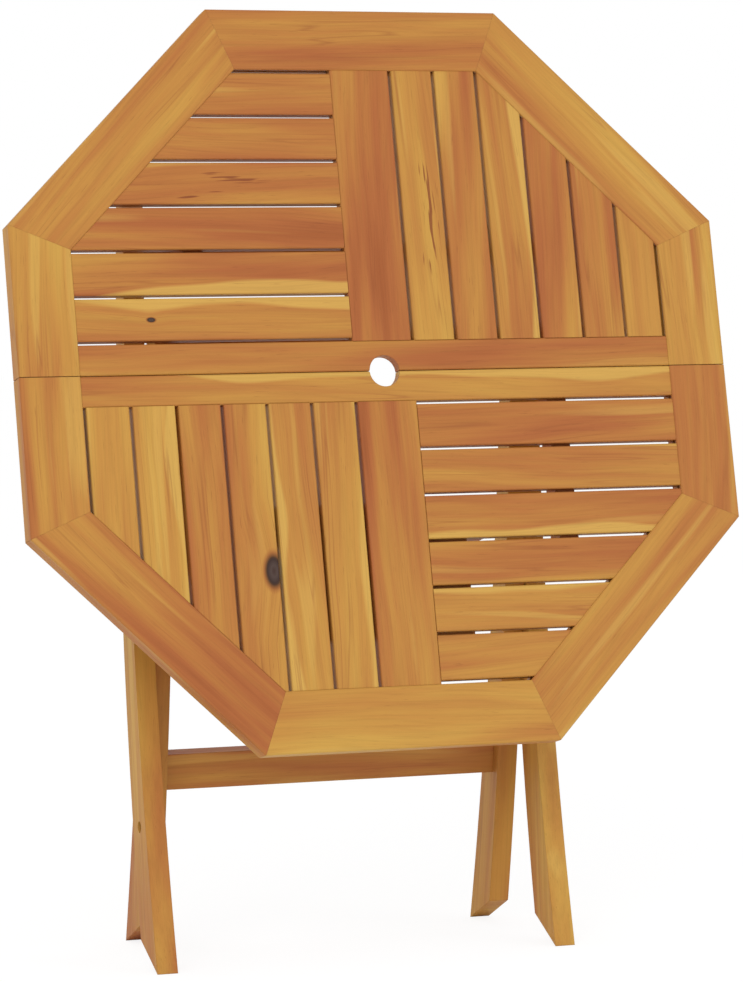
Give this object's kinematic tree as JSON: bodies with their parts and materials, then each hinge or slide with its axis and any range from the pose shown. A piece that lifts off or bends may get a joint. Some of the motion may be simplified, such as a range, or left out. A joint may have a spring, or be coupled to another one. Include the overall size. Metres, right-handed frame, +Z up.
{
  "type": "folding garden table",
  "caption": "Octagonal slatted wooden garden table top with umbrella hole, hinged on bowed folding X legs, shown half folded in display position.",
  "frame": {"origin": "on the floor in the middle of the table's bounding box", "axes": "+X to the viewer's right along the hinge, +Y to the back, +Z up"},
  "size_m": [0.85, 0.2842, 1.0757],
  "materials": {
    "rim_wood": "oiled hardwood, satin",
    "slat_wood": "oiled hardwood with pale sapwood streaks, satin",
    "under_wood": "oiled hardwood, darker underside",
    "leg_wood": "oiled hardwood, satin",
    "zinc_steel": "zinc plated",
    "dark_steel": "blackened, sunk below the wood"
  },
  "bodies": {
    "outer_frame": {"outer_leg_left": "leg_wood", "outer_leg_right": "leg_wood", "pivot_bolts": "zinc_steel", "pivot_washers": "zinc_steel", "pivot_nuts": "zinc_steel", "foot_nuts": "dark_steel"},
    "inner_frame": {"inner_leg_left": "leg_wood", "inner_leg_right": "leg_wood", "inner_top_rail": "leg_wood", "inner_lower_rail": "leg_wood"},
    "tabletop": {"rim_top": "rim_wood", "rim_top_right": "rim_wood", "rim_right_upper": "rim_wood", "rim_right_lower": "rim_wood", "rim_bottom_right": "rim_wood", "rim_bottom": "rim_wood", "rim_bottom_left": "rim_wood", "rim_left_lower": "rim_wood", "rim_left_upper": "rim_wood", "rim_top_left": "rim_wood", "centre_board_upper": "slat_wood", "centre_board_lower": "slat_wood", "split_board_upper": "slat_wood", "split_board_lower": "slat_wood", "slat_upper_left_1": "slat_wood", "slat_upper_left_2": "slat_wood", "slat_upper_left_3": "slat_wood", "slat_upper_left_4": "slat_wood", "slat_upper_left_5": "slat_wood", "slat_upper_left_6": "slat_wood", "slat_upper_right_1": "slat_wood", "slat_upper_right_2": "slat_wood", "slat_upper_right_3": "slat_wood", "slat_upper_right_4": "slat_wood", "slat_upper_right_5": "slat_wood", "slat_upper_right_6": "slat_wood", "slat_lower_left_1": "slat_wood", "slat_lower_left_2": "slat_wood", "slat_lower_left_3": "slat_wood", "slat_lower_left_4": "slat_wood", "slat_lower_left_5": "slat_wood", "slat_lower_left_6": "slat_wood", "slat_lower_right_1": "slat_wood", "slat_lower_right_2": "slat_wood", "slat_lower_right_3": "slat_wood", "slat_lower_right_4": "slat_wood", "slat_lower_right_5": "slat_wood", "slat_lower_right_6": "slat_wood", "batten_left": "under_wood", "batten_right": "under_wood", "hinge_block_left": "under_wood", "hinge_block_right": "under_wood", "prop_block_left": "under_wood", "prop_block_right": "under_wood", "top_screws": "zinc_steel", "top_rail": "leg_wood", "prop_pins": "zinc_steel"},
    "prop": {"prop_board": "under_wood"}
  },
  "joints": [
    {"name": "legs_fold", "type": "hinge", "parent": "outer_frame", "child": "inner_frame", "pos_m": [0, 0.05105, 0.4266], "axis": [1, 0, 0], "range_deg": [-5, 50]},
    {"name": "top_turn", "type": "hinge", "parent": "outer_frame", "child": "tabletop", "pos_m": [0, 0.07071, 0.799], "axis": [1, 0, 0], "range_deg": [-51.67, 5.17]},
    {"name": "prop_swing", "type": "hinge", "parent": "tabletop", "child": "prop", "pos_m": [0, -0.04783, 0.50708], "axis": [1, 0, 0], "range_deg": [0, 90]}
  ],
  "couplings": [
    {"joint": "top_turn", "follows": "legs_fold", "ratio": -1.0334}
  ]
}
